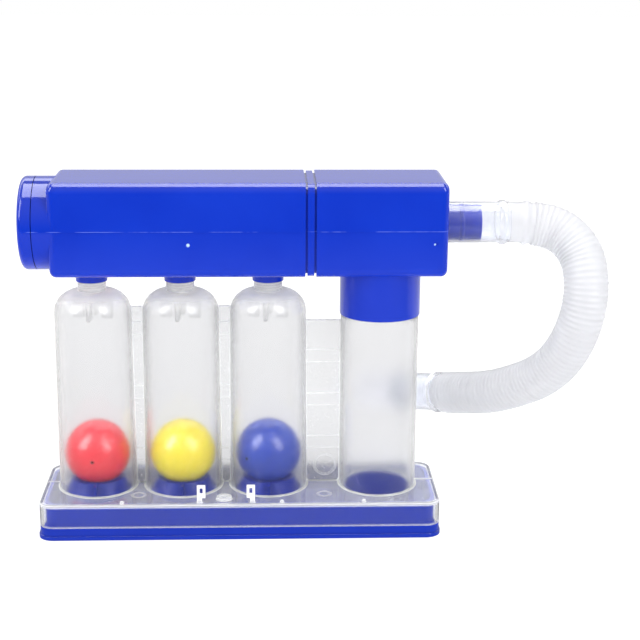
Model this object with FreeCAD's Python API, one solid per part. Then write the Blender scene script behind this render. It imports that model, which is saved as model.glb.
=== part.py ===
import FreeCAD, Part
import math
import os

os.makedirs("parts", exist_ok=True)
Vec = FreeCAD.Vector

# Incentive spirometer with three balls, in millimetres.
# X runs to the right along the long side, Y runs away from the viewer, Z is up.
# The origin is the middle of the tray's underside.

# Base: a blue tray closed by a clear cover; its length follows the row of tubes on it
cover_left_margin = 6.0
cover_right_margin = 8.2
cover_depth = 44.4
cover_corner = 5.5
cover_wall = 1.4
cover_edge_round = 1.0
skirt_bottom = 4.8
plate_top = 14.4
plate_thickness = 1.5
tray_fit = 0.15
tray_wall = 1.5
tray_wall_corner = 7.0
tray_top_gap = 0.2
tray_lip_height = 1.6
tray_lip_reach = 0.5
tray_lip_round = 0.4
tray_recess = 1.2
tray_rim = 2.8
tray_floor = 1.6
foot_rib_width = 4.0
foot_rib_places = (-39.6, 0.0, 32.7)
air_notch_width = 10.0

# Flow chambers: domed tubes in a row, open at the foot
chamber_gap = 3.5
chamber_radius_foot = 15.1
chamber_draft = 0.4
chamber_wall = 1.5
chamber_foot_round = 0.7
shoulder_height = 85.5
shoulder_radius = 8.5
neck_radius = 5.28
neck_wall = 1.38
neck_free_height = 3.9
neck_top_gap = 0.6
neck_ring_height = 0.5
neck_ring_reach = 0.2
neck_ring_count = 3
orifice_radii = (1.7, 2.1, 2.5)
orifice_depth = 2.0
stop_rib_count = 4
stop_rib_turn = -98.0
stop_rib_drop = 2.3
stop_rib_inner = 3.5
stop_rib_outer = 7.5
stop_rib_width_top = 2.4
stop_rib_width_bottom = 1.2

# Balls and their seats
ball_side_gap = 0.5
ball_wall = 0.8
ball_gap = 0.15
ball_vent_radius = 0.35
ball_names = ("ball_red", "ball_yellow", "ball_blue")
ball_vent_turns = (-93.0, 90.0, -130.0)
seat_side_gap = 0.7
seat_cone_reach = 2.7
seat_cone_drop = 1.9
seat_height = 3.9
seat_wall = 1.5
seat_edge_radius = 7.9
seat_bore_radius = 6.0
seat_spigot_radius = 7.95
seat_spigot_fit = 0.05
seat_fin_count = 2
seat_fin_width = 1.1
seat_fin_gap = 0.2

# Column: a plain tube that carries the right duct
column_gap = 13.0
column_radius = 15.1
column_wall = 1.5
column_cap_gap = 0.85

# Panels that link the tubes
panel_thickness = 1.4
panel_middle = 1.7
panel_join = 0.02
panel_band_height = 5.0
panel_band_reach = 0.4
narrow_panel_rise = 1.5
narrow_band_first = 9.7
narrow_band_pitch = 25.9
wide_panel_rise = -4.2
wide_band_first = 14.5
wide_band_pitch = 17.8
panel_band_count = 3
panel_mark_place = (33.4, 21.7)
panel_mark_radius = 4.5
panel_mark_line = 0.6
panel_mark_depth = 0.15

# Small features on the clear cover
tab_width = 3.2
tab_height = 7.0
tab_thickness = 1.1
tab_stem_width = 1.9
tab_stem_height = 2.0
tab_window_width = 1.2
tab_window_height = 2.4
tab_places = (-16.6, 2.5)
tab_setback = 1.4
boss_place = (-6.3, -16.6)
boss_radius = 2.9
boss_bore_radius = 1.7
boss_height = 1.0
nub_places = (-46.0, 15.6, 47.3)
nub_width = 1.0
nub_length = 2.6
nub_height = 1.3
step_line_width = 0.5
step_line_height = 0.25
ejector_places = ((32.7, -12.2, 2.7), (33.4, 15.8, 3.5), (-39.6, -12.2, 2.7))
ejector_depth = 0.15
ejector_line = 0.5

# Ducts along the top
duct_side = 35.6
duct_wall = 1.8
duct_edge_round = 3.5
duct_end_round = 2.4
manifold_left_reach = 13.6
manifold_right_reach = 13.9
right_duct_reach = 23.9
nipple_wall = 0.67
nipple_length = 4.5
nipple_fit = 0.1
parting_line_drop = 0.5
parting_line_reach = 0.12
parting_line_width = 0.3
manifold_gate_place = 4.2
manifold_gate_drop = 4.9
right_gate_setback = 4.7
right_gate_drop = 4.5
gate_radius = 0.75
gate_depth = 0.3

# Coupler between the two ducts
coupler_length = 4.1
coupler_inset = 0.3
coupler_groove = 0.8
coupler_groove_inset = 1.1
coupler_sleeve_fit = 0.1
coupler_sleeve_length = 8.0
coupler_wall = 1.5

# Flow dial at the left end
collar_inset = 0.05
collar_length = 5.8
collar_wall = 1.8
dial_slit = 0.3
dial_thickness = 5.2
dial_rim_round = 2.0
dial_face = 1.8
dial_skirt_gap = 0.3
dial_skirt_wall = 1.5
dial_end_gap = 1.0
dial_hub_radius = 4.2
dial_travel = 180.0
vent_radii = (1.1, 1.4, 1.7)
vent_offset = 9.0
vent_spacing_angle = 28.0
vent_turn = 90.0
rivet_radius = 2.0
rivet_fit = 0.06
rivet_head_radius = 3.6
rivet_head_height = 0.8
rivet_head_gap = 0.2
boss_length = 2.2
hub_gap = 0.3
stop_block_angle = 20.0
stop_block_height = 2.4
stop_clearance_angle = 2.0
seal_section = 1.1
seal_place = 2.3
seal_gap = 0.05

# Right duct: the collar on the column and the hose spigot
column_collar_step = 0.43
column_collar_wall = 1.4
column_collar_length = 17.6
column_collar_fit = 0.08
column_top_gap = 0.4
column_passage_radius = 12.0
spigot_radius = 6.9
spigot_wall = 1.3
spigot_length = 13.8
spigot_bead_place = 6.4
spigot_bead_reach = 0.35
spigot_bead_width = 1.8

# Hose: a corrugated tube with a smooth cuff at each end, kept plain here
hose_diameter = 17.4
hose_bore = 14.4
cuff_fit = 0.05
cuff_wall = 0.9
cuff_start_gap = 0.6
cuff_ring_reach = 0.7
cuff_ring_width = 3.6
cuff_ring_setback = 2.6
outlet_cuff_length = 24.0
hose_route = (
    (103.0, 0.0, 120.2),
    (118.0, 0.0, 120.2),
    (129.5, -6.5, 112.5),
    (132.0, -14.5, 99.0),
    (129.0, -14.5, 79.5),
    (121.0, -5.0, 61.0),
    (104.5, 10.0, 49.0),
    (93.0, 24.0, 43.5),
    (84.5, 36.0, 40.0),
)

# Mouthpiece on the hose's free end
mouth_spigot_fit = 0.1
mouth_spigot_length = 13.0
mouth_flange_radius = 8.6
mouth_flange_height = 1.4
mouth_root_radius = 7.4
mouth_wall = 1.3
mouth_length = 36.0
mouth_half_width = 10.0
mouth_half_height = 6.2
mouth_lip_length = 2.6
mouth_lip_reach = 0.7

# Places along the row, worked out from the sizes above
chamber_pitch = 2 * chamber_radius_foot + chamber_gap
column_spacing = chamber_radius_foot + column_gap + column_radius
cover_length = (cover_left_margin + chamber_radius_foot + 2 * chamber_pitch + column_spacing
                + column_radius + cover_right_margin)
first_place = cover_left_margin + chamber_radius_foot - cover_length / 2
chamber_places = tuple(first_place + chamber_pitch * index for index in range(3))
column_place = chamber_places[-1] + column_spacing
manifold_left = chamber_places[0] - manifold_left_reach
manifold_right = chamber_places[-1] + manifold_right_reach
right_duct_left = manifold_right + coupler_length
right_duct_right = column_place + right_duct_reach

# Heights worked out from the sizes above
tray_floor_top = tray_recess + tray_floor
plate_bottom = plate_top - plate_thickness
dome_top = shoulder_height + shoulder_radius
nipple_bottom = dome_top + neck_free_height
duct_bottom = nipple_bottom + nipple_length
duct_middle = duct_bottom + duct_side / 2
parting_line_height = duct_middle - parting_line_drop
column_collar_bottom = duct_bottom - column_collar_length
stop_rib_bottom = shoulder_height - stop_rib_drop
seat_top = plate_top + seat_height
seat_cone_start = plate_top - seat_cone_drop

# Radii worked out from the sizes above
chamber_radius_top = chamber_radius_foot - chamber_draft
chamber_bore_foot = chamber_radius_foot - chamber_wall
ball_radius = chamber_radius_top - chamber_wall - ball_side_gap
seat_radius = chamber_bore_foot - seat_side_gap
seat_top_radius = seat_radius - seat_cone_reach
neck_bore_radius = neck_radius - neck_wall
nipple_bore_radius = neck_radius + nipple_fit
nipple_radius = nipple_bore_radius + nipple_wall
duct_inner_round = duct_edge_round - duct_wall
collar_radius = duct_side / 2 - collar_inset
collar_bore_radius = collar_radius - collar_wall
column_collar_radius = column_radius + column_collar_step
column_collar_bore = column_collar_radius - column_collar_wall
column_bore = column_radius - column_wall
column_cap_radius = column_bore - column_cap_gap
cuff_bore_radius = spigot_radius + cuff_fit
cuff_radius = cuff_bore_radius + cuff_wall
mouth_spigot_radius = cuff_bore_radius - mouth_spigot_fit

# Travel of the balls and the ends of the dial
ball_rest = seat_top + math.sqrt((ball_radius + ball_gap) ** 2 - seat_edge_radius ** 2)
ball_highest = stop_rib_bottom - math.sqrt((ball_radius + ball_gap) ** 2 - stop_rib_inner ** 2)
ball_travel = ball_highest - ball_rest
dial_outer = manifold_left - collar_length - dial_slit - dial_thickness
boss_end = manifold_left - boss_length


def slab(length, depth, corner, low, high, middle_x=0.0):
    """Rounded rectangle in plan, standing from low to high."""
    half_x = length / 2 - corner
    half_y = depth / 2 - corner
    slope = corner * math.sqrt(0.5)
    edges = []
    turns = ((1, 1), (-1, 1), (-1, -1), (1, -1))
    for index, (sx, sy) in enumerate(turns):
        cx = middle_x + sx * half_x
        cy = sy * half_y
        along_x = Vec(cx + sx * corner, cy, low)
        along_y = Vec(cx, cy + sy * corner, low)
        bend = Vec(cx + sx * slope, cy + sy * slope, low)
        first, last = (along_x, along_y) if index % 2 == 0 else (along_y, along_x)
        edges.append(Part.Arc(first, bend, last).toShape())
        next_x, next_y = turns[(index + 1) % 4]
        if index % 2 == 0:
            target = Vec(middle_x + next_x * half_x, next_y * (half_y + corner), low)
        else:
            target = Vec(middle_x + next_x * (half_x + corner), next_y * half_y, low)
        edges.append(Part.LineSegment(last, target).toShape())
    return Part.Face(Part.Wire(edges)).extrude(Vec(0, 0, high - low))


def beam(side, corner, left, right):
    """Rounded square across the duct's middle line, running from left to right."""
    solid = slab(side, side, corner, 0.0, right - left)
    solid.rotate(Vec(0, 0, 0), Vec(0, 1, 0), 90)
    solid.translate(Vec(left, 0, duct_middle))
    return solid


def turned(steps, place=(0.0, 0.0)):
    """Solid of revolution about a vertical axis; an arc step is (point on it, its end)."""
    here = steps[0]
    edges = []
    for step in steps[1:]:
        if step == here:
            continue
        if isinstance(step[0], tuple):
            bend, there = step
            edges.append(Part.Arc(*[Vec(r, 0, z) for r, z in (here, bend, there)]).toShape())
        else:
            there = step
            edges.append(Part.LineSegment(Vec(here[0], 0, here[1]), Vec(there[0], 0, there[1])).toShape())
        here = there
    edges.append(Part.LineSegment(Vec(here[0], 0, here[1]), Vec(steps[0][0], 0, steps[0][1])).toShape())
    solid = Part.Face(Part.Wire(edges)).revolve(Vec(0, 0, 0), Vec(0, 0, 1), 360)
    solid.translate(Vec(place[0], place[1], 0))
    return solid


def rod(radius, low, high, place=(0.0, 0.0)):
    """Upright cylinder."""
    return Part.makeCylinder(radius, high - low, Vec(place[0], place[1], low))


def rod_x(radius, left, right, y=0.0, z=duct_middle):
    """Cylinder that lies along X."""
    return Part.makeCylinder(radius, right - left, Vec(left, y, z), Vec(1, 0, 0))


def block(x0, x1, y0, y1, z0, z1):
    return Part.makeBox(x1 - x0, y1 - y0, z1 - z0, Vec(x0, y0, z0))


def lay_along_x(solid, start, toward=1):
    """Turn an upright solid of revolution so that its axis runs along X from start."""
    solid.rotate(Vec(0, 0, 0), Vec(0, 1, 0), 90 * toward)
    solid.translate(Vec(start, 0, duct_middle))
    return solid


def chamber_outline(inset):
    """Radius of a chamber wall's foot and top, moved in by inset."""
    return chamber_radius_foot - inset, chamber_radius_top - inset


def chamber_envelope(place, inset, low):
    """Solid filling a chamber out to its wall, from low up to the dome."""
    foot, top = chamber_outline(inset)
    radius = shoulder_radius - inset
    middle = chamber_radius_top - shoulder_radius
    slope = radius * math.sqrt(0.5)
    crown = shoulder_height + radius
    bend = (middle + slope, shoulder_height + slope)
    steps = [(0, low), (foot, low), (foot, plate_top), (top, shoulder_height), (bend, (middle, crown)), (0, crown)]
    return turned(steps, (place, 0))


def make_base_tray():
    outer = slab(cover_length, cover_depth, cover_corner, 0.0, skirt_bottom)
    lip = slab(cover_length + 2 * tray_lip_reach, cover_depth + 2 * tray_lip_reach,
               cover_corner + tray_lip_reach, 0.0, tray_lip_height)
    top_edges = [edge for edge in lip.Edges if edge.BoundBox.ZMin > tray_lip_height - 0.01]
    lip = lip.makeFillet(tray_lip_round, top_edges)
    inset = cover_wall + tray_fit
    upstand = slab(cover_length - 2 * inset, cover_depth - 2 * inset, tray_wall_corner,
                   tray_recess, plate_bottom - tray_top_gap)
    tray = outer.fuse([lip, upstand]).removeSplitter()
    wall = inset + tray_wall
    tray = tray.cut(slab(cover_length - 2 * wall, cover_depth - 2 * wall, tray_wall_corner - tray_wall,
                         tray_floor_top, plate_top))
    hollow = slab(cover_length - 2 * tray_rim, cover_depth - 2 * tray_rim, cover_corner - tray_rim / 2,
                  -1.0, tray_recess)
    for x in foot_rib_places:
        rib = block(x - foot_rib_width / 2, x + foot_rib_width / 2, -cover_depth, cover_depth, -1.0, tray_recess)
        hollow = hollow.cut(rib)
    tray = tray.cut(hollow)
    for x in chamber_places:
        tray = tray.cut(rod(seat_spigot_radius + seat_spigot_fit, 0.0, tray_floor_top + 1, (x, 0)))
        notch = block(x - air_notch_width / 2, x + air_notch_width / 2,
                      cover_depth / 2 - tray_rim - 0.5, cover_depth, -1.0, tray_recess)
        tray = tray.cut(notch)
    return tray.cut(rod(seat_spigot_radius + seat_spigot_fit, 0.0, tray_floor_top + 1, (column_place, 0)))


def cover_tab(left, stem_left):
    """Upright tab with a window, on a narrower stem near the front edge."""
    front = -cover_depth / 2 + tab_setback
    back = front + tab_thickness
    top = plate_top + tab_height
    head = block(left, left + tab_width, front, back, plate_top + tab_stem_height, top)
    stem = block(stem_left, stem_left + tab_stem_width, front, back, plate_top - 0.5, plate_top + tab_stem_height + 0.5)
    margin = (tab_width - tab_window_width) / 2
    window = block(left + margin, left + margin + tab_window_width, front - 1, back + 1,
                   top - margin - tab_window_height, top - margin)
    return head.fuse(stem).cut(window)


def cover_nub(x):
    """Small wedge on the plate behind its front edge."""
    front = -cover_depth / 2 + cover_edge_round
    points = [Vec(x, front, plate_top - 0.3), Vec(x, front + nub_length, plate_top - 0.3),
              Vec(x, front + nub_length, plate_top), Vec(x, front, plate_top + nub_height)]
    face = Part.Face(Part.makePolygon(points + points[:1]))
    return face.extrude(Vec(nub_width, 0, 0))


def make_base_cover():
    shell = slab(cover_length, cover_depth, cover_corner, skirt_bottom, plate_top)
    top_edges = [edge for edge in shell.Edges if edge.BoundBox.ZMin > plate_top - 0.01]
    shell = shell.makeFillet(cover_edge_round, top_edges)
    shell = shell.cut(slab(cover_length - 2 * cover_wall, cover_depth - 2 * cover_wall,
                           cover_corner - cover_wall, skirt_bottom - 1, plate_bottom))
    extras = [cover_tab(tab_places[0], tab_places[0]),
              cover_tab(tab_places[1], tab_places[1] + tab_width - tab_stem_width)]
    extras += [cover_nub(x) for x in nub_places]
    extras.append(rod(boss_radius, plate_top - 0.3, plate_top + boss_height, boss_place))
    line_half = cover_length / 2 - cover_edge_round
    line_back = panel_middle + panel_thickness / 2 + step_line_width
    extras.append(block(-line_half, line_half, line_back - step_line_width, line_back,
                        plate_top - 0.3, plate_top + step_line_height))
    cover = shell.fuse(extras)
    cover = cover.cut(rod(boss_bore_radius, plate_top, plate_top + boss_height + 1, boss_place))
    for x, y, radius in ejector_places:
        mark = rod(radius, plate_top - ejector_depth, plate_top + 1, (x, y))
        cover = cover.cut(mark.cut(rod(radius - ejector_line, plate_top - 1, plate_top + 2, (x, y))))
    for x in chamber_places:
        cover = cover.cut(rod(chamber_radius_foot + chamber_foot_round, plate_top, plate_top + 1, (x, 0)))
        cover = cover.cut(rod(chamber_bore_foot, plate_bottom - 1, plate_top + 1, (x, 0)))
    cover = cover.cut(rod(column_radius + chamber_foot_round, plate_top, plate_top + 1, (column_place, 0)))
    return cover.cut(rod(column_bore, plate_bottom - 1, plate_top + 1, (column_place, 0)))


def foot_round(radius, wall, place):
    """Rounded bead where a tube meets the plate."""
    reach = chamber_foot_round
    slope = reach * (1 - math.sqrt(0.5))
    steps = [(radius - wall / 2, plate_top), (radius + reach, plate_top),
             ((radius + slope, plate_top + slope), (radius, plate_top + reach)),
             (radius - wall / 2, plate_top + reach)]
    return turned(steps, (place, 0))


def stop_rib(place, turn):
    """Radial rib under the dome, wider at its root, that the ball stops against."""
    top = dome_top - chamber_wall / 2
    half_top = stop_rib_width_top / 2
    half_bottom = stop_rib_width_bottom / 2
    points = [Vec(stop_rib_inner, -half_bottom, stop_rib_bottom), Vec(stop_rib_inner, half_bottom, stop_rib_bottom),
              Vec(stop_rib_inner, half_top, top), Vec(stop_rib_inner, -half_top, top)]
    face = Part.Face(Part.makePolygon(points + points[:1]))
    rib = face.extrude(Vec(stop_rib_outer - stop_rib_inner, 0, 0))
    rib.rotate(Vec(0, 0, 0), Vec(0, 0, 1), turn)
    rib.translate(Vec(place, 0, 0))
    return rib


def make_flow_chamber(place, orifice_radius):
    neck_top = duct_bottom + duct_wall - neck_top_gap
    shell = chamber_envelope(place, 0.0, plate_top)
    shell = shell.fuse([rod(neck_radius, shoulder_height, neck_top, (place, 0)),
                        foot_round(chamber_radius_foot, chamber_wall, place)])
    shell = shell.cut(chamber_envelope(place, chamber_wall, plate_top - 1))
    ribs = [stop_rib(place, stop_rib_turn + 360 / stop_rib_count * index) for index in range(stop_rib_count)]
    ring_pitch = (nipple_bottom - dome_top) / (neck_ring_count + 1)
    rings = []
    for index in range(neck_ring_count):
        low = dome_top + ring_pitch * (index + 1) - neck_ring_height / 2
        rings.append(rod(neck_radius + neck_ring_reach, low, low + neck_ring_height, (place, 0)))
    shell = shell.fuse(ribs + rings)
    shell = shell.cut(rod(orifice_radius, shoulder_height, neck_top + 1, (place, 0)))
    orifice_top = dome_top - chamber_wall + orifice_depth
    return shell.cut(rod(neck_bore_radius, orifice_top, neck_top + 1, (place, 0)))


def make_column_tube():
    place = (column_place, 0)
    sleeve_radius = column_collar_bore - column_collar_fit
    tube = rod(column_radius, plate_top, column_collar_bottom, place)
    sleeve = rod(sleeve_radius, column_collar_bottom, duct_bottom - column_top_gap, place)
    tube = tube.fuse([sleeve, foot_round(column_radius, column_wall, column_place)])
    tube = tube.cut(rod(column_bore, plate_top - 1, column_collar_bottom - column_wall, place))
    step = turned([(0, column_collar_bottom - column_wall), (column_bore, column_collar_bottom - column_wall),
                   (sleeve_radius - column_wall, column_collar_bottom + column_wall),
                   (sleeve_radius - column_wall, duct_bottom + 1), (0, duct_bottom + 1)], place)
    return tube.cut(step)


def make_ball_seat(place):
    """Cup that holds a ball: a tapered wall, a bored middle and fins that centre it."""
    inner = seat_radius - seat_wall
    roof = seat_cone_start - seat_wall / 2
    seat = turned([(seat_bore_radius, tray_recess), (seat_spigot_radius, tray_recess),
                   (seat_spigot_radius, roof), (inner, roof), (inner, tray_floor_top),
                   (seat_radius, tray_floor_top), (seat_radius, seat_cone_start),
                   (seat_top_radius, seat_top), (seat_edge_radius, seat_top),
                   (seat_bore_radius, seat_top - (seat_edge_radius - seat_bore_radius))])
    fin_reach = chamber_bore_foot - seat_fin_gap
    fins = []
    for index in range(seat_fin_count):
        fin = block(seat_edge_radius + 0.5, fin_reach, -seat_fin_width / 2, seat_fin_width / 2, roof, seat_top)
        fin.rotate(Vec(0, 0, 0), Vec(0, 0, 1), 90 + 360 / seat_fin_count * index)
        fins.append(fin)
    seat = seat.fuse(fins)
    seat.translate(Vec(place, 0, 0))
    return seat


def make_column_floor_cap():
    """Blue cap that closes the column's foot."""
    inner = column_cap_radius - seat_wall
    return turned([(0, plate_top - seat_wall), (inner, plate_top - seat_wall), (inner, tray_floor_top),
                   (column_cap_radius, tray_floor_top), (column_cap_radius, plate_top), (0, plate_top)],
                  (column_place, 0)).fuse(column_cap_spigot())


def column_cap_spigot():
    """Tube inside the cap that presses into the tray's floor."""
    bore = seat_spigot_radius - seat_wall
    return turned([(bore, tray_recess), (seat_spigot_radius, tray_recess),
                   (seat_spigot_radius, plate_top - seat_wall / 2), (bore, plate_top - seat_wall / 2)],
                  (column_place, 0))


def make_ball(place, vent_turn):
    """Hollow ball with the pin hole that its mould leaves."""
    ball = Part.makeSphere(ball_radius).cut(Part.makeSphere(ball_radius - ball_wall))
    vent = Part.makeCylinder(ball_vent_radius, ball_radius + 1, Vec(0, 0, 0), Vec(1, 0, 0))
    vent.rotate(Vec(0, 0, 0), Vec(0, 0, 1), vent_turn)
    ball = ball.cut(vent)
    ball.translate(Vec(place, 0, ball_rest))
    return ball


def make_link_panel(left, right, neighbours, top, band_first, band_pitch):
    """Thin wall between two tubes with raised bands across it."""
    front = panel_middle - panel_thickness / 2
    back = panel_middle + panel_thickness / 2
    panel = block(left, right, front, back, plate_top, top)
    bands = []
    for index in range(panel_band_count):
        low = band_first + band_pitch * index
        bands.append(block(left, right, front - panel_band_reach, front + 0.5, low, low + panel_band_height))
    panel = panel.fuse(bands)
    for neighbour in neighbours:
        panel = panel.cut(neighbour)
    return panel


def tube_blank(place, is_column):
    """What a panel is cut back to beside a tube."""
    if is_column:
        blank = rod(column_radius + panel_join, 0.0, duct_bottom, (place, 0))
    else:
        blank = chamber_envelope(place, -panel_join, 0.0)
    radius = column_radius if is_column else chamber_radius_foot
    reach = radius + chamber_foot_round + panel_join
    return blank.fuse(rod(reach, 0.0, plate_top + chamber_foot_round, (place, 0)))


def panel_mark():
    """Ring that a mould pin leaves in the wide panel's front."""
    x, z = panel_mark_place
    front = panel_middle - panel_thickness / 2
    start, along = Vec(x, front - 1, z), Vec(0, 1, 0)
    disc = Part.makeCylinder(panel_mark_radius, panel_mark_depth + 1, start, along)
    return disc.cut(Part.makeCylinder(panel_mark_radius - panel_mark_line, panel_mark_depth + 1, start, along))


def make_link_panels():
    places = list(chamber_places) + [column_place]
    panels = []
    for index in range(3):
        wide = index == 2
        left, right = places[index], places[index + 1]
        blanks = [tube_blank(left, False), tube_blank(right, wide)]
        top = shoulder_height + (wide_panel_rise if wide else narrow_panel_rise)
        first = plate_top + (wide_band_first if wide else narrow_band_first)
        pitch = wide_band_pitch if wide else narrow_band_pitch
        panels.append(make_link_panel(left, right, blanks, top, first, pitch))
    return panels[:-1] + [panels[-1].cut(panel_mark())]


def duct_shell(left, right, closed_left):
    """Square duct with one closed end whose edges are rounded."""
    duct = beam(duct_side, duct_edge_round, left, right)
    closed = left if closed_left else right
    rim = [edge for edge in duct.Edges if abs(edge.BoundBox.XMin - closed) < 0.01 and edge.BoundBox.XLength < 0.01]
    duct = duct.makeFillet(duct_end_round, rim)
    inner_left = left + duct_wall if closed_left else left - 1
    inner_right = right + 1 if closed_left else right - duct_wall
    return duct, beam(duct_side - 2 * duct_wall, duct_inner_round, inner_left, inner_right)


def parting_line(left, right):
    """Fine raised line that the mould leaves along the front and back of a duct."""
    half = duct_side / 2
    low = parting_line_height - parting_line_width / 2
    high = low + parting_line_width
    front = block(left, right, -half - parting_line_reach, -half + 0.5, low, high)
    back = block(left, right, half - 0.5, half + parting_line_reach, low, high)
    return [front, back]


def gate_mark(x, z):
    """Shallow round dimple in a duct's front."""
    front = -duct_side / 2
    return Part.makeCylinder(gate_radius, gate_depth + 1, Vec(x, front - 1, z), Vec(0, 1, 0))


def vent_holes(left, right, turn):
    """Graded vent holes in an arc about the dial's axis, centred on turn."""
    holes = []
    for index, radius in enumerate(vent_radii):
        angle = math.radians(turn + (index - 1) * vent_spacing_angle)
        y = vent_offset * math.cos(angle)
        z = duct_middle + vent_offset * math.sin(angle)
        holes.append(rod_x(radius, left, right, y, z))
    return holes


def ring_sector(inner, outer, left, right, angle, turn):
    """Part of a ring about the dial's axis, angle degrees wide and centred on turn."""
    sector = Part.makeCylinder(outer, right - left, Vec(0, 0, 0), Vec(0, 0, 1), angle)
    sector = sector.cut(Part.makeCylinder(inner, right - left, Vec(0, 0, 0), Vec(0, 0, 1), angle))
    sector.rotate(Vec(0, 0, 0), Vec(0, 0, 1), turn - angle / 2)
    sector.rotate(Vec(0, 0, 0), Vec(0, 1, 0), 90)
    sector.translate(Vec(left, 0, duct_middle))
    return sector


def make_left_manifold():
    duct, hollow = duct_shell(manifold_left, manifold_right, True)
    additions = parting_line(manifold_left + duct_end_round, manifold_right)
    additions.append(rod_x(collar_radius, manifold_left - collar_length, manifold_left + duct_end_round))
    for x in chamber_places:
        additions.append(rod(nipple_radius, nipple_bottom, duct_bottom + duct_wall, (x, 0)))
    housing = duct.fuse(additions).cut(hollow)
    housing = housing.cut(rod_x(collar_bore_radius, manifold_left - collar_length - 1, manifold_left))
    boss = rod_x(dial_hub_radius, boss_end, manifold_left + duct_wall / 2)
    skirt_outer = collar_bore_radius - dial_skirt_gap
    skirt_inner = skirt_outer - dial_skirt_wall
    stop = ring_sector(skirt_inner, skirt_outer, manifold_left - stop_block_height,
                       manifold_left + duct_wall / 2, stop_block_angle, 0.0)
    housing = housing.fuse([boss, stop])
    housing = housing.cut(rod_x(rivet_radius, boss_end - 1, manifold_left + duct_wall + 1))
    housing = housing.cut(vent_holes(manifold_left - 1, manifold_left + duct_wall + 1, vent_turn))
    for x in chamber_places:
        housing = housing.cut(rod(nipple_bore_radius, nipple_bottom - 1, duct_bottom + duct_wall + 1, (x, 0)))
    return housing.cut(gate_mark(chamber_places[1] + manifold_gate_place, duct_middle - manifold_gate_drop))


def make_flow_dial():
    depth = collar_length + dial_slit + dial_thickness
    skirt_outer = collar_bore_radius - dial_skirt_gap
    skirt_inner = skirt_outer - dial_skirt_wall
    skirt_end = depth - dial_end_gap
    slope = dial_rim_round * (1 - math.sqrt(0.5))
    groove_low = dial_thickness + seal_place - seal_section / 2
    groove_high = groove_low + seal_section
    groove_floor = collar_bore_radius - seal_gap - seal_section
    steps = [(0, 0), (collar_radius - dial_rim_round, 0),
             ((collar_radius - slope, slope), (collar_radius, dial_rim_round)),
             (collar_radius, dial_thickness), (skirt_outer, dial_thickness),
             (skirt_outer, groove_low), (groove_floor, groove_low), (groove_floor, groove_high),
             (skirt_outer, groove_high), (skirt_outer, skirt_end), (skirt_inner, skirt_end),
             (skirt_inner, dial_face), (0, dial_face)]
    dial = lay_along_x(turned(steps), dial_outer)
    hub_end = boss_end - hub_gap
    dial = dial.fuse(rod_x(dial_hub_radius, dial_outer + dial_face / 2, hub_end))
    recess = rivet_head_height + rivet_head_gap
    dial = dial.cut(rod_x(rivet_head_radius + rivet_head_gap, dial_outer - 1, dial_outer + recess))
    dial = dial.cut(rod_x(rivet_radius + rivet_fit, dial_outer, hub_end + 1))
    dial = dial.cut(vent_holes(dial_outer - 1, dial_outer + dial_face + 1, vent_turn - dial_travel))
    notch_angle = dial_travel + stop_block_angle + 2 * stop_clearance_angle
    notch_turn = -(dial_travel / 2)
    notch = ring_sector(skirt_inner - 0.5, skirt_outer + 0.5, manifold_left - stop_block_height - hub_gap,
                        manifold_left, notch_angle, notch_turn)
    return dial.cut(notch)


def make_dial_rivet():
    head = rod_x(rivet_head_radius, dial_outer, dial_outer + rivet_head_height)
    shank = rod_x(rivet_radius, dial_outer + rivet_head_height / 2, manifold_left + duct_wall)
    rivet = head.fuse(shank)
    rim = [edge for edge in rivet.Edges
           if abs(edge.BoundBox.XMax - dial_outer) < 0.01 and edge.BoundBox.ZLength > rivet_head_radius]
    return rivet.makeFillet(rivet_head_height / 2, rim)


def make_dial_seal():
    middle = collar_bore_radius - seal_gap - seal_section / 2
    ring = Part.makeTorus(middle, seal_section / 2 - seal_gap)
    return lay_along_x(ring, dial_outer + dial_thickness + seal_place)


def make_duct_coupler():
    ring_left = manifold_right + coupler_groove
    ring_right = right_duct_left - coupler_groove
    fit = coupler_sleeve_fit
    sleeve_inset = duct_wall + fit
    sizes = ((coupler_inset, ring_left, ring_right),
             (coupler_groove_inset, manifold_right, right_duct_left),
             (sleeve_inset, manifold_right - coupler_sleeve_length, right_duct_left + coupler_sleeve_length))
    pieces = []
    for inset, left, right in sizes:
        corner = duct_edge_round if inset < duct_wall else duct_inner_round
        pieces.append(beam(duct_side - 2 * inset, corner, left, right))
    coupler = pieces[0].fuse(pieces[1:])
    bore_inset = sleeve_inset + coupler_wall
    return coupler.cut(beam(duct_side - 2 * bore_inset, duct_inner_round,
                            manifold_right - coupler_sleeve_length - 1,
                            right_duct_left + coupler_sleeve_length + 1))


def spigot_profile():
    """Hose spigot with a raised bead, standing on its root."""
    bead = spigot_bead_place
    half = spigot_bead_width / 2
    bore = spigot_radius - spigot_wall
    return [(bore, -duct_wall / 2), (spigot_radius, -duct_wall / 2), (spigot_radius, bead - half),
            ((spigot_radius + spigot_bead_reach, bead), (spigot_radius, bead + half)),
            (spigot_radius, spigot_length), (bore, spigot_length)]


def make_right_duct():
    duct, hollow = duct_shell(right_duct_left, right_duct_right, False)
    place = (column_place, 0)
    additions = parting_line(right_duct_left, right_duct_right - duct_end_round)
    additions.append(rod(column_collar_radius, column_collar_bottom, duct_bottom + duct_wall / 2, place))
    housing = duct.fuse(additions).cut(hollow)
    housing = housing.fuse(lay_along_x(turned(spigot_profile()), right_duct_right))
    housing = housing.cut(rod_x(spigot_radius - spigot_wall, right_duct_right - duct_wall - 1,
                                right_duct_right + spigot_length + 1))
    housing = housing.cut(rod(column_collar_bore, column_collar_bottom - 1, duct_bottom, place))
    housing = housing.cut(rod(column_passage_radius, duct_bottom - 1, duct_bottom + duct_wall + 1, place))
    return housing.cut(gate_mark(right_duct_right - right_gate_setback, duct_middle - right_gate_drop))


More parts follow.
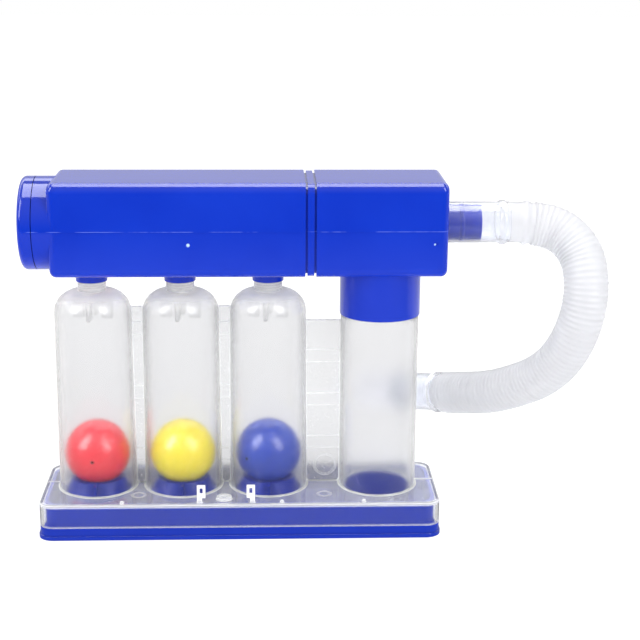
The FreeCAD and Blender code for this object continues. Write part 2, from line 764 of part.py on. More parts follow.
def cuff_profile(length, ring_near_end):
    """Smooth cuff with one gentle raised ring near the hose."""
    ring = length - cuff_ring_setback if ring_near_end else cuff_ring_setback
    half = cuff_ring_width / 2
    return [(cuff_bore_radius, 0), (cuff_radius, 0), (cuff_radius, ring - half),
            ((cuff_radius + cuff_ring_reach, ring), (cuff_radius, ring + half)),
            (cuff_radius, length), (cuff_bore_radius, length)]


def make_inlet_cuff():
    start = right_duct_right + cuff_start_gap
    length = hose_route[0][0] - start
    cuff = lay_along_x(turned(cuff_profile(length, True)), start)
    groove_left = right_duct_right + spigot_bead_place - spigot_bead_width / 2
    groove = rod_x(spigot_radius + spigot_bead_reach + 0.1, groove_left, groove_left + spigot_bead_width)
    return cuff.cut(groove)


def route_arcs(points):
    """Straight runs joined by tangent arcs, with the radius of each."""
    edges = []
    radii = []
    here = points[0]
    for index in range(1, len(points) - 1):
        corner = points[index]
        before = (points[index - 1] - corner)
        after = (points[index + 1] - corner)
        trim = 0.45 * min(before.Length, after.Length)
        turn = math.pi - before.getAngle(after)
        radii.append(trim / math.tan(turn / 2))
        before.normalize()
        after.normalize()
        first = corner + before * trim
        last = corner + after * trim
        inward = before + after
        inward.normalize()
        centre = corner + inward * (radii[-1] / math.cos(turn / 2))
        bend = centre - inward * radii[-1]
        edges.append(Part.LineSegment(here, first).toShape())
        edges.append(Part.Arc(first, bend, last).toShape())
        here = last
    edges.append(Part.LineSegment(here, points[-1]).toShape())
    return Part.Wire(edges), radii


def make_hose():
    points = [Vec(*point) for point in hose_route]
    path, radii = route_arcs(points)
    start_direction = points[1] - points[0]
    tubes = []
    for diameter in (hose_diameter, hose_bore):
        ring = Part.Wire(Part.makeCircle(diameter / 2, points[0], start_direction))
        tubes.append(path.makePipeShell([ring], True, False))
    hose = tubes[0].cut(tubes[1])
    section = math.pi / 4 * (hose_diameter ** 2 - hose_bore ** 2)
    print("hose bend radii", [round(radius, 1) for radius in radii])
    print("hose length", round(path.Length, 1), "volume", round(hose.Volume), "section x length",
          round(section * path.Length))
    return hose


def at_hose_end(solid, distance):
    """Place an upright solid on the hose's last run, distance past its end, with its X level."""
    end = Vec(*hose_route[-1])
    direction = end - Vec(*hose_route[-2])
    direction.normalize()
    level = Vec(0, 0, 1).cross(direction)
    level.normalize()
    turn = FreeCAD.Rotation(level, direction.cross(level), direction, "ZXY")
    solid.Placement = FreeCAD.Placement(end + direction * distance, turn)
    return solid


def make_outlet_cuff():
    return at_hose_end(turned(cuff_profile(outlet_cuff_length, False)), 0.0)


def oval(radius_x, radius_y, height):
    """Oval outline at a height; equal radii give a circle."""
    if radius_x == radius_y:
        return Part.Wire(Part.makeCircle(radius_x, Vec(0, 0, height)))
    curve = Part.Ellipse(Vec(0, 0, height), radius_x, radius_y)
    return Part.Wire(curve.toShape())


def make_mouthpiece():
    start = mouth_flange_height
    end = start + mouth_length
    width, height = mouth_half_width, mouth_half_height
    bore = mouth_spigot_radius - mouth_wall
    lip_width, lip_height = width + mouth_lip_reach, height + mouth_lip_reach
    body = Part.makeLoft([oval(mouth_root_radius, mouth_root_radius, start), oval(width, height, end)], True)
    lip = Part.Face(oval(lip_width, lip_height, end - mouth_lip_length)).extrude(Vec(0, 0, mouth_lip_length))
    spigot = rod(mouth_spigot_radius, -mouth_spigot_length, start)
    flange = rod(mouth_flange_radius, 0.0, mouth_flange_height)
    passage = Part.makeLoft([oval(bore, bore, start), oval(width - mouth_wall, height - mouth_wall, end)], True)
    piece = body.fuse([lip, spigot, flange])
    piece = piece.cut(rod(bore, -mouth_spigot_length - 1, start)).cut(passage)
    return at_hose_end(piece, outlet_cuff_length)


def build():
    parts = {"base_tray": make_base_tray(), "base_cover": make_base_cover()}
    for index, place in enumerate(chamber_places):
        parts["flow_chamber_%d" % (index + 1)] = make_flow_chamber(place, orifice_radii[index])
        parts["ball_seat_%d" % (index + 1)] = make_ball_seat(place)
        parts[ball_names[index]] = make_ball(place, ball_vent_turns[index])
    for index, panel in enumerate(make_link_panels()):
        parts["link_panel_%d" % (index + 1)] = panel
    parts["column_tube"] = make_column_tube()
    parts["column_floor_cap"] = make_column_floor_cap()
    parts["left_manifold"] = make_left_manifold()
    parts["flow_dial"] = make_flow_dial()
    parts["dial_rivet"] = make_dial_rivet()
    parts["dial_seal"] = make_dial_seal()
    parts["duct_coupler"] = make_duct_coupler()
    parts["right_duct"] = make_right_duct()
    parts["hose_inlet_cuff"] = make_inlet_cuff()
    parts["hose"] = make_hose()
    parts["hose_outlet_cuff"] = make_outlet_cuff()
    parts["mouthpiece"] = make_mouthpiece()
    return parts


for name, shape in build().items():
    shape.exportStep("parts/%s.step" % name)
    print(name, "solids", len(shape.Solids), "volume", round(shape.Volume, 1), "valid", shape.isValid())
print("ball rest", round(ball_rest, 3), "ball travel", round(ball_travel, 3), "dial outer", round(dial_outer, 3))
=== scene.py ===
# %% [markdown]
# # A ball-type incentive spirometer
# This is a breathing trainer for a hospital bed. A patient draws air through the mouthpiece, and up to
# three balls rise in their chambers to show the flow. The measured parts come ready made from the frame,
# so this lesson gives them their plastics, models the hose, and sets the camera and the light.
# Sizes are written in millimetres and turned to metres with MM.

# %% Load the measured frame
import math

import bpy
from mathutils import Matrix, Vector


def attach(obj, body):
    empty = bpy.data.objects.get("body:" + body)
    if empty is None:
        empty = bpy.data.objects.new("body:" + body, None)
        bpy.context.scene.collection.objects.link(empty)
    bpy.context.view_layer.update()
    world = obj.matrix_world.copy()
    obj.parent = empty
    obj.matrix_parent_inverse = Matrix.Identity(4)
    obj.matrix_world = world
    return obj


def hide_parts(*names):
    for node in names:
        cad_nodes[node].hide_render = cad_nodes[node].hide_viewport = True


MM = 0.001
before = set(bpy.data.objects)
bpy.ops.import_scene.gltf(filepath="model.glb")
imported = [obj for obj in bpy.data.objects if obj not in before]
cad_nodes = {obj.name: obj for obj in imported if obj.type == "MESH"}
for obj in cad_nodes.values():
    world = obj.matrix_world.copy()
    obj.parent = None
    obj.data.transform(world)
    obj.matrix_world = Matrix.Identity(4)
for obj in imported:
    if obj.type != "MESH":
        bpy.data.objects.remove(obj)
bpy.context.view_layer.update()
print("measured parts", len(cad_nodes))

# %% [markdown]
# ## The camera
# The photograph was taken with a long lens from a little above, so upright edges stay nearly parallel.
# Place, turn and lens were fitted to the object's straight edges, and the lens isn't shifted.

# %% Place the camera
CAMERA_PLACE = Vector((9.58, -546.16, 232.72)) * MM
CAMERA_TURN = math.radians(2.257)
CAMERA_DIP = math.radians(15.456)
CAMERA_TILT = math.radians(0.383)
CAMERA_LENS = 82.284


def looking(turn, dip, tilt):
    """Rotation of a camera that looks along +Y, then turns right, dips and tilts."""
    forward = Vector((math.sin(turn) * math.cos(dip), math.cos(turn) * math.cos(dip), -math.sin(dip)))
    level = Vector((math.cos(turn), -math.sin(turn), 0.0))
    upright = level.cross(forward)
    right = level * math.cos(tilt) + upright * math.sin(tilt)
    up = upright * math.cos(tilt) - level * math.sin(tilt)
    return Matrix((right, up, -forward)).transposed()


camera_data = bpy.data.cameras.new("camera")
camera_data.sensor_width = 36.0
camera_data.lens = CAMERA_LENS
camera = bpy.data.objects.new("camera", camera_data)
bpy.context.scene.collection.objects.link(camera)
camera_turned = looking(CAMERA_TURN, CAMERA_DIP, CAMERA_TILT).to_4x4()
camera.matrix_world = Matrix.Translation(CAMERA_PLACE) @ camera_turned
bpy.context.scene.camera = camera
print("camera at", [round(v, 4) for v in CAMERA_PLACE], "lens", camera_data.lens)

# %% [markdown]
# ## The hose's route
# The hose leaves the spigot level, turns down in a tight bend and comes back behind the column.
# Its line is one smooth NURBS spline through a few given control points, the same ones that the
# measured tube follows. The points of the smooth line are read back from the spline, and the
# corrugated wall is made along them.

# %% Draw the route as one spline
HOSE_ROUTE = (
    (0.1030, 0.0000, 0.1202),
    (0.1180, 0.0000, 0.1202),
    (0.1295, -0.0065, 0.1125),
    (0.1320, -0.0145, 0.0990),
    (0.1290, -0.0145, 0.0795),
    (0.1210, -0.0050, 0.0610),
    (0.1045, 0.0100, 0.0490),
    (0.0930, 0.0240, 0.0435),
    (0.0845, 0.0360, 0.0400),
)
ROUTE_STEPS = 32

route_curve = bpy.data.curves.new("hose_route", "CURVE")
route_curve.dimensions = "3D"
spline = route_curve.splines.new("NURBS")
spline.points.add(len(HOSE_ROUTE) - 1)
for point, place in zip(spline.points, HOSE_ROUTE):
    point.co = (*place, 1.0)
spline.order_u = 3
spline.use_endpoint_u = True
spline.resolution_u = ROUTE_STEPS
route_object = bpy.data.objects.new("hose_route", route_curve)
route_line = bpy.data.meshes.new_from_object(route_object)
bpy.data.objects.remove(route_object)

# %% [markdown]
# ## Small tools for colours, nodes and meshes
# A colour is written as the hex value seen on a screen, and one function turns it to the linear values
# that a shader works with. Another adds a node with its settings and links, and every material and
# geometry tree below is built with it. The last two put a mesh into the scene and turn what a modifier
# made into a plain mesh.

# %% Helpers
def colour(hex_text):
    """Linear colour of an sRGB hex value."""
    channels = []
    for start in (1, 3, 5):
        value = int(hex_text[start:start + 2], 16) / 255
        channels.append(value / 12.92 if value <= 0.04045 else ((value + 0.055) / 1.055) ** 2.4)
    return (*channels, 1.0)


def add_node(tree, kind, inputs=None, **settings):
    """Add a node; each input takes a value or the output socket that feeds it."""
    node = tree.nodes.new(kind)
    for name, value in settings.items():
        setattr(node, name, value)
    for name, value in (inputs or {}).items():
        if isinstance(value, bpy.types.NodeSocket):
            tree.links.new(value, node.inputs[name])
        else:
            node.inputs[name].default_value = value
    return node


def add_object(name, mesh):
    """New object at the origin that shows this mesh."""
    made = bpy.data.objects.new(name, mesh)
    bpy.context.scene.collection.objects.link(made)
    return made


def settle(source, name):
    """Replace an object by a plain mesh of what its modifiers make."""
    bpy.context.view_layer.update()
    graph = bpy.context.evaluated_depsgraph_get()
    mesh = bpy.data.meshes.new_from_object(source.evaluated_get(graph), depsgraph=graph)
    mesh.name = name
    bpy.data.objects.remove(source)
    made = add_object(name, mesh)
    print(name, "faces", len(mesh.polygons))
    return made


print("middle grey in linear values", [round(v, 3) for v in colour("#777777")])

# %% [markdown]
# ## Moulding texture
# A moulded part takes the skin of its mould. Polished steel leaves a faint waviness a few millimetres
# long, where the plastic shrank, and a fine grain from the polishing stone. Both are noise on Object
# coordinates, so the pattern stays put on the part. The grain is drawn at half a millimetre, coarser
# than the real one, so that it shows at all.

# %% Skin of a moulded surface
def moulded_skin(tree, wave_mm, wave_depth_mm, grain_mm, grain_depth_mm):
    """Normal and a grain value from 0 to 1 for a moulded surface."""
    place = add_node(tree, "ShaderNodeTexCoord").outputs["Object"]
    wave = add_node(tree, "ShaderNodeTexNoise", {"Vector": place, "Scale": 1 / (wave_mm * MM),
                                                 "Detail": 1.0})
    grain = add_node(tree, "ShaderNodeTexNoise", {"Vector": place, "Scale": 1 / (grain_mm * MM),
                                                  "Detail": 3.0})
    soft = add_node(tree, "ShaderNodeBump", {"Height": wave.outputs["Fac"], "Distance": wave_depth_mm * MM})
    fine = add_node(tree, "ShaderNodeBump", {"Height": grain.outputs["Fac"], "Distance": grain_depth_mm * MM,
                                             "Normal": soft.outputs["Normal"]})
    return fine.outputs["Normal"], grain.outputs["Fac"]


def spread(tree, value, low, high):
    """Map a value from 0 to 1 onto a range."""
    mapped = add_node(tree, "ShaderNodeMapRange", {"Value": value, "To Min": low, "To Max": high})
    return mapped.outputs["Result"]


def new_material(name):
    """Empty material with its tree and output node."""
    material = bpy.data.materials.new(name)
    material.use_nodes = True
    material.node_tree.nodes.clear()
    return material, material.node_tree, material.node_tree.nodes.new("ShaderNodeOutputMaterial")


print("moulding texture ready")

# %% [markdown]
# ## See-through plastics
# Three plastics let light through: the hose is soft LDPE, the chambers are polypropylene with a satin
# haze, and the cover is clear polystyrene. They differ in how rough and how clear they are. Real light
# passes such a wall with little loss, so for shadow rays the shader turns into a plain tinted window.
# That lets the lamps reach the balls with far less noise than bent light would.
# Some light scatters inside the plastic. A little of it comes from every part of a wall, more where
# the wall is seen edge on, and most along sharp or rounded edges, which therefore look white.

# %% Light that scatters inside a plastic
GLOSS_SPREAD = (0.85, 1.15)
RIM_POWER = 3.0
EDGE_ALIKE = (0.995, 0.93)
LEVEL_TIP = (0.7, 0.95)
SLOPE_RAMP = ((0.12, 0.0), (0.45, 1.0), (0.985, 0.0))


def fill_ramp(node, stops):
    """Give a colour ramp grey stops, each a position and a value."""
    elements = node.color_ramp.elements
    while len(elements) < len(stops):
        elements.new(0.5)
    for element, (position, value) in zip(elements, stops):
        element.position = position
        element.color = (value, value, value, 1.0)


def milk_share(tree, all_over, edge_on, along_edges, edge_mm, level_extra=0.0, slopes=0.0):
    """How much of a wall's light is scattered: its plain share, its rims' and its edges' together."""
    facing = add_node(tree, "ShaderNodeLayerWeight", {"Blend": 0.5}).outputs["Facing"]
    rim = add_node(tree, "ShaderNodeMath", {0: facing, 1: RIM_POWER}, operation="POWER")
    plain = add_node(tree, "ShaderNodeNewGeometry").outputs["Normal"]
    rounded = add_node(tree, "ShaderNodeBevel", {"Radius": edge_mm * MM}, samples=4)
    alike = add_node(tree, "ShaderNodeVectorMath", {0: plain, 1: rounded.outputs["Normal"]},
                     operation="DOT_PRODUCT")
    sharp_edge = add_node(tree, "ShaderNodeMapRange", {
        "Value": alike.outputs["Value"], "From Min": EDGE_ALIKE[0], "From Max": EDGE_ALIKE[1],
        "To Max": along_edges})
    upright = add_node(tree, "ShaderNodeSeparateXYZ", {"Vector": plain}).outputs["Z"]
    tipped = add_node(tree, "ShaderNodeMath", {0: upright}, operation="ABSOLUTE").outputs[0]
    slope = add_node(tree, "ShaderNodeValToRGB", {"Fac": tipped})
    fill_ramp(slope, SLOPE_RAMP)
    rounded_edge = add_node(tree, "ShaderNodeMath", {0: slope.outputs["Color"], 1: slopes},
                            operation="MULTIPLY")
    edge = add_node(tree, "ShaderNodeMath", {0: sharp_edge.outputs["Result"], 1: rounded_edge.outputs[0]},
                    operation="MAXIMUM")
    level = add_node(tree, "ShaderNodeMapRange", {
        "Value": tipped, "From Min": LEVEL_TIP[0], "From Max": LEVEL_TIP[1], "To Min": all_over,
        "To Max": all_over + level_extra})
    rims = add_node(tree, "ShaderNodeMath", {0: rim.outputs[0], 1: edge_on, 2: level.outputs["Result"]},
                    operation="MULTIPLY_ADD")
    return add_node(tree, "ShaderNodeMath", {0: rims.outputs[0], 1: edge.outputs[0]}, operation="ADD",
                    use_clamp=True).outputs[0]


print("milk on slopes, by how far a face tips up", SLOPE_RAMP)

# %% [markdown]
# One function makes every see-through plastic here. Its milk is a mix of light thrown back and light let
# through. Where a moulding has thick walls higher up, the milk and the roughness grow with the height.

# %% See-through plastic
def thicker(tree, share, rough, low_mm, high_mm, milk, roughness):
    """Milk share and roughness that grow between two heights, by the amounts given."""
    height = add_node(tree, "ShaderNodeSeparateXYZ", {
        "Vector": add_node(tree, "ShaderNodeTexCoord").outputs["Object"]}).outputs["Z"]
    grown = add_node(tree, "ShaderNodeMapRange", {
        "Value": height, "From Min": low_mm * MM, "From Max": high_mm * MM}).outputs["Result"]
    more = add_node(tree, "ShaderNodeMath", {0: grown, 1: milk, 2: share}, operation="MULTIPLY_ADD",
                    use_clamp=True)
    rougher = add_node(tree, "ShaderNodeMath", {0: grown, 1: roughness, 2: rough},
                       operation="MULTIPLY_ADD")
    return more.outputs[0], rougher.outputs[0]


def see_through(name, tone, roughness, ior, window, milk, wave=(9.0, 0.01), grain=(0.5, 0.001), thick=None,
                milk_tone="#FAFAFC", through=0.5, shine=0.5):
    """Clear or hazy plastic that lamps shine through, dimmed by the window's tone."""
    material, tree, output = new_material(name)
    normal, skin = moulded_skin(tree, *wave, *grain)
    rough = spread(tree, skin, roughness * GLOSS_SPREAD[0], roughness * GLOSS_SPREAD[1])
    share = milk_share(tree, **milk)
    if thick:
        share, rough = thicker(tree, share, rough, **thick)
    clear = add_node(tree, "ShaderNodeBsdfPrincipled", {
        "Base Color": colour(tone), "Roughness": rough, "IOR": ior,
        "Specular IOR Level": shine, "Transmission Weight": 1.0, "Normal": normal})
    back = add_node(tree, "ShaderNodeBsdfDiffuse", {"Color": colour(milk_tone)})
    forward = add_node(tree, "ShaderNodeBsdfTranslucent", {"Color": colour(milk_tone)})
    cloud = add_node(tree, "ShaderNodeMixShader", {"Fac": through, 1: back.outputs["BSDF"],
                                                   2: forward.outputs["BSDF"]})
    plastic = add_node(tree, "ShaderNodeMixShader", {"Fac": share, 1: clear.outputs["BSDF"],
                                                     2: cloud.outputs["Shader"]})
    pane = add_node(tree, "ShaderNodeBsdfTransparent", {"Color": colour(window)})
    lamp_ray = add_node(tree, "ShaderNodeLightPath").outputs["Is Shadow Ray"]
    mixed = add_node(tree, "ShaderNodeMixShader", {"Fac": lamp_ray, 1: plastic.outputs["Shader"],
                                                   2: pane.outputs["BSDF"]})
    tree.links.new(mixed.outputs["Shader"], output.inputs["Surface"])
    return material


print("see-through plastic ready")

# %% [markdown]
# The hose and its cuffs are one plastic. The cuffs have a smoother skin and less milk.

# %% Hose plastics
# Soft LDPE: milky, with a waxy shine, so the ridges show as soft light and grey bands
hose_ldpe = see_through("blown_ldpe_hose", "#EAEAEC", roughness=0.3, ior=1.5, window="#F4F5F6",
                        milk={"all_over": 0.26, "edge_on": 0.3, "along_edges": 0.0, "edge_mm": 0.3},
                        milk_tone="#D9D9DB", shine=0.3)
# The same plastic, clear enough at the cuffs for the blue spigot to show through
cuff_ldpe = see_through("smooth_ldpe_cuff", "#EEF0F6", roughness=0.14, ior=1.5, window="#F8F9FA",
                        milk={"all_over": 0.05, "edge_on": 0.4, "along_edges": 0.1, "edge_mm": 0.4},
                        wave=(5.0, 0.03), milk_tone="#D8D8DA", through=0.7, shine=0.3)
print("materials", hose_ldpe.name, cuff_ldpe.name)

# %% [markdown]
# ## The corrugated hose
# The hose is blown: molten tube is pressed into a chain of ring-shaped moulds. Its rings sit 1.9 mm
# apart, and a smooth stretch with one gentle ring follows the inlet cuff. The wall's radius depends
# only on how far along the route it is, so Geometry Nodes sweep a circle whose size is worked out from
# that length. Modelling each ring by hand would be slower, and the rings would bend less evenly.

# %% Sizes of the corrugated wall
HOSE_SIZES = {
    "Step": 0.32 * MM,
    "Pitch": 1.9 * MM,
    "Ridge Height": 0.4 * MM,
    "Trough Radius": 8.22 * MM,
    "Cuff Radius": 7.85 * MM,
    "Smooth Length": 8.6 * MM,
    "Blend Length": 1.2 * MM,
    "Ring Place": 6.3 * MM,
    "Ring Half Width": 1.8 * MM,
    "Ring Reach": 0.7 * MM,
    "End Length": 2.4 * MM,
    "End Drop": 0.8 * MM,
}
HOSE_SIDES = 56

# %% [markdown]
# Three small functions open a geometry tree, close it and put it on an object with its values. The
# hose's tree starts by making the route a curve again, with even steps.

# %% Start the hose's tree
def new_tree(name, sizes):
    """Geometry tree with a number input for each named size and one for the material."""
    tree = bpy.data.node_groups.new(name, "GeometryNodeTree")
    tree.interface.new_socket("Geometry", in_out="INPUT", socket_type="NodeSocketGeometry")
    for label in sizes:
        tree.interface.new_socket(label, in_out="INPUT", socket_type="NodeSocketFloat")
    tree.interface.new_socket("Material", in_out="INPUT", socket_type="NodeSocketMaterial")
    tree.interface.new_socket("Geometry", in_out="OUTPUT", socket_type="NodeSocketGeometry")
    return tree, tree.nodes.new("NodeGroupInput").outputs


def close_tree(tree, geometry, material):
    """End a tree: real geometry, smooth, with its material."""
    real = add_node(tree, "GeometryNodeRealizeInstances", {"Geometry": geometry})
    smooth = add_node(tree, "GeometryNodeSetShadeSmooth", {"Geometry": real.outputs["Geometry"]})
    painted = add_node(tree, "GeometryNodeSetMaterial", {"Geometry": smooth.outputs["Geometry"],
                                                         "Material": material})
    add_node(tree, "NodeGroupOutput", {"Geometry": painted.outputs["Geometry"]})


def run_tree(source, tree, values):
    """Give a tree's inputs their values by socket identifier."""
    modifier = source.modifiers.new(tree.name, "NODES")
    modifier.node_group = tree
    for item in tree.interface.items_tree:
        if item.item_type == "SOCKET" and item.in_out == "INPUT" and item.name in values:
            modifier[item.identifier] = values[item.name]


hose_tree, sizes = new_tree("corrugated_hose", HOSE_SIZES)
route = add_node(hose_tree, "GeometryNodeMeshToCurve", {"Mesh": sizes["Geometry"]})
line = add_node(hose_tree, "GeometryNodeResampleCurve", {"Curve": route.outputs["Curve"],
                                                        "Length": sizes["Step"]}, mode="LENGTH")
along = add_node(hose_tree, "GeometryNodeSplineParameter").outputs["Length"]
whole = add_node(hose_tree, "GeometryNodeSplineLength").outputs["Length"]
print("tree", hose_tree.name, "inputs", len(sizes))

# %% [markdown]
# The ridges are a cosine of the distance along the route. A blend keeps them off the smooth stretch,
# a bump makes the gentle ring, and the last ridge rounds down to the outlet cuff.

# %% Radius of the wall along the route
rings_passed = add_node(hose_tree, "ShaderNodeMath", {0: along, 1: sizes["Pitch"]}, operation="DIVIDE")
angle = add_node(hose_tree, "ShaderNodeMath", {0: rings_passed.outputs[0], 1: math.tau},
                 operation="MULTIPLY")
swing = add_node(hose_tree, "ShaderNodeMath", {0: angle.outputs[0]}, operation="COSINE")
ridge = add_node(hose_tree, "ShaderNodeMapRange", {"Value": swing.outputs[0], "From Min": -1.0,
                                                   "To Max": sizes["Ridge Height"]})
base_step = add_node(hose_tree, "ShaderNodeMath", {0: sizes["Trough Radius"], 1: sizes["Cuff Radius"]},
                     operation="SUBTRACT")
proud = add_node(hose_tree, "ShaderNodeMath", {0: ridge.outputs["Result"], 1: base_step.outputs[0]},
                 operation="ADD")
blend_end = add_node(hose_tree, "ShaderNodeMath", {0: sizes["Smooth Length"], 1: sizes["Blend Length"]},
                     operation="ADD")
ridged_share = add_node(hose_tree, "ShaderNodeMapRange", {
    "Value": along, "From Min": sizes["Smooth Length"], "From Max": blend_end.outputs[0]},
    interpolation_type="SMOOTHSTEP")
ridged = add_node(hose_tree, "ShaderNodeMath", {0: proud.outputs[0], 1: ridged_share.outputs["Result"]},
                  operation="MULTIPLY")
from_ring = add_node(hose_tree, "ShaderNodeMath", {0: along, 1: sizes["Ring Place"]}, operation="SUBTRACT")
ring_distance = add_node(hose_tree, "ShaderNodeMath", {0: from_ring.outputs[0]}, operation="ABSOLUTE")
ring_bump = add_node(hose_tree, "ShaderNodeMapRange", {
    "Value": ring_distance.outputs[0], "From Max": sizes["Ring Half Width"], "To Min": sizes["Ring Reach"],
    "To Max": 0.0}, interpolation_type="SMOOTHSTEP")
to_end = add_node(hose_tree, "ShaderNodeMath", {0: whole, 1: along}, operation="SUBTRACT")
end_drop = add_node(hose_tree, "ShaderNodeMapRange", {
    "Value": to_end.outputs[0], "From Max": sizes["End Length"], "To Min": sizes["End Drop"],
    "To Max": 0.0}, interpolation_type="SMOOTHSTEP")
with_ring = add_node(hose_tree, "ShaderNodeMath", {0: ridged.outputs[0], 1: ring_bump.outputs["Result"]},
                     operation="ADD")
with_end = add_node(hose_tree, "ShaderNodeMath", {0: with_ring.outputs[0], 1: end_drop.outputs["Result"]},
                    operation="SUBTRACT")
wall_radius = add_node(hose_tree, "ShaderNodeMath", {0: with_end.outputs[0], 1: sizes["Cuff Radius"]},
                       operation="ADD")
section = add_node(hose_tree, "GeometryNodeCurvePrimitiveCircle", {"Resolution": HOSE_SIDES, "Radius": 1.0})
wall = add_node(hose_tree, "GeometryNodeCurveToMesh", {
    "Curve": line.outputs["Curve"], "Profile Curve": section.outputs["Curve"],
    "Scale": wall_radius.outputs[0]})
close_tree(hose_tree, wall.outputs["Mesh"], sizes["Material"])
print("tree", hose_tree.name, "nodes", len(hose_tree.nodes))

# %% [markdown]
# The tree makes one thin skin. Solidify gives it the wall of a blown hose, measured inwards, so the
# outside keeps its size, and closes both ends with a rim.

HOSE_WALL = 0.7 * MM

route_host = add_object("route_host", route_line)
run_tree(route_host, hose_tree, {**HOSE_SIZES, "Material": hose_ldpe})
skin = settle(route_host, "hose_skin")
thick = skin.modifiers.new("wall", "SOLIDIFY")
thick.thickness = HOSE_WALL
thick.offset = -1.0
corrugated_hose = settle(skin, "corrugated_hose")
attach(corrugated_hose, "stand")
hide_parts("hose")

# %% [markdown]
# ## Opaque mouldings
# The ducts, the dial and the tray are royal blue ABS from polished moulds, and the seats are the same blue
# painted navy as shade. The balls are blow-moulded polyethylene, which is softer and has a satin skin. One
# function serves them all: two close tones drift over the part, as pigment does in thin mouldings, and the
# gloss varies a little.
#
# The ducts' mould parts at mid height. Their faces lean back a little on each side of that line, so
# that they leave the mould, and a painted highlight runs along the line, broken in patches. Small pale
# spots are painted glints where the plastic came in, and dark spots are painted shade where it was pierced.

# %% Draft, parting line and marks
DRAFT = math.tan(math.radians(0.9))
PARTING_HEIGHT = 120.2
PARTING_TURN = 0.1
PARTING_HALF = 0.16
# Pale blue of the highlight painted along the parting line
PARTING_GLINT_TONE = "#8FA6F2"
PATCH_LENGTH = 7.0
PATCH_EDGES = (0.45, 0.6)
PATCH_MOST = 0.45
MARK_CORE = 0.7


def drafted(tree, place, normal, tones):
    """Normal and colour of a moulding that parts at mid height, with leaning faces and a painted highlight
    line.
    """
    height = add_node(tree, "ShaderNodeSeparateXYZ", {"Vector": place}).outputs["Z"]
    lean = add_node(tree, "ShaderNodeMapRange", {
        "Value": height, "From Min": (PARTING_HEIGHT - PARTING_TURN) * MM,
        "From Max": (PARTING_HEIGHT + PARTING_TURN) * MM, "To Min": -DRAFT, "To Max": DRAFT})
    tilt = add_node(tree, "ShaderNodeCombineXYZ", {"Z": lean.outputs["Result"]})
    leaning = add_node(tree, "ShaderNodeVectorMath", {0: normal, 1: tilt.outputs["Vector"]}, operation="ADD")
    unit = add_node(tree, "ShaderNodeVectorMath", {0: leaning.outputs["Vector"]}, operation="NORMALIZE")
    # A pale line of painted highlight along the parting height, kept only in noise patches
    away = add_node(tree, "ShaderNodeMath", {0: height, 1: PARTING_HEIGHT * MM}, operation="SUBTRACT")
    near = add_node(tree, "ShaderNodeMath", {0: away.outputs[0]}, operation="ABSOLUTE")
    seam = add_node(tree, "ShaderNodeMapRange", {"Value": near.outputs[0], "From Max": PARTING_HALF * MM,
                                                 "To Min": 1.0, "To Max": 0.0})
    patches = add_node(tree, "ShaderNodeTexNoise", {"Vector": place, "Scale": 1 / (PATCH_LENGTH * MM),
                                                    "Detail": 2.0})
    kept = add_node(tree, "ShaderNodeMapRange", {
        "Value": patches.outputs["Fac"], "From Min": PATCH_EDGES[0], "From Max": PATCH_EDGES[1],
        "To Max": PATCH_MOST})
    share = add_node(tree, "ShaderNodeMath", {0: seam.outputs["Result"], 1: kept.outputs["Result"]},
                     operation="MULTIPLY")
    tint = add_node(tree, "ShaderNodeMixRGB", {"Fac": share.outputs[0], "Color1": tones,
                                               "Color2": colour(PARTING_GLINT_TONE)})
    return unit.outputs["Vector"], tint.outputs["Color"]


def marked(tree, place, tint, marks, mark_tone):
    """Colour with small round spots of painted light and shade; each mark is a place and a radius in mm."""
    for spot_place, radius in marks:
        reach = add_node(tree, "ShaderNodeVectorMath", {0: place, 1: Vector(spot_place) * MM},
                         operation="DISTANCE")
        spot = add_node(tree, "ShaderNodeMapRange", {
            "Value": reach.outputs["Value"], "From Min": MARK_CORE * radius * MM, "From Max": radius * MM,
            "To Min": 1.0, "To Max": 0.0})
        tint = add_node(tree, "ShaderNodeMixRGB", {"Fac": spot.outputs["Result"], "Color1": tint,
                                                   "Color2": colour(mark_tone)}).outputs["Color"]
    return tint


print("parting line at", PARTING_HEIGHT, "mm, draft", round(DRAFT, 4))

# %% [markdown]
# The plastic itself is one Principled shader. Polyethylene also gets some light spread under its skin,
# over the glow's length.

# %% Opaque plastic
DRIFT_ENDS = (0.35, 0.65)
SKIN_SPREAD = (0.8, 1.25)
GLOW_SHARE = 0.35
GLOW_REACH = (1.0, 0.6, 0.5)


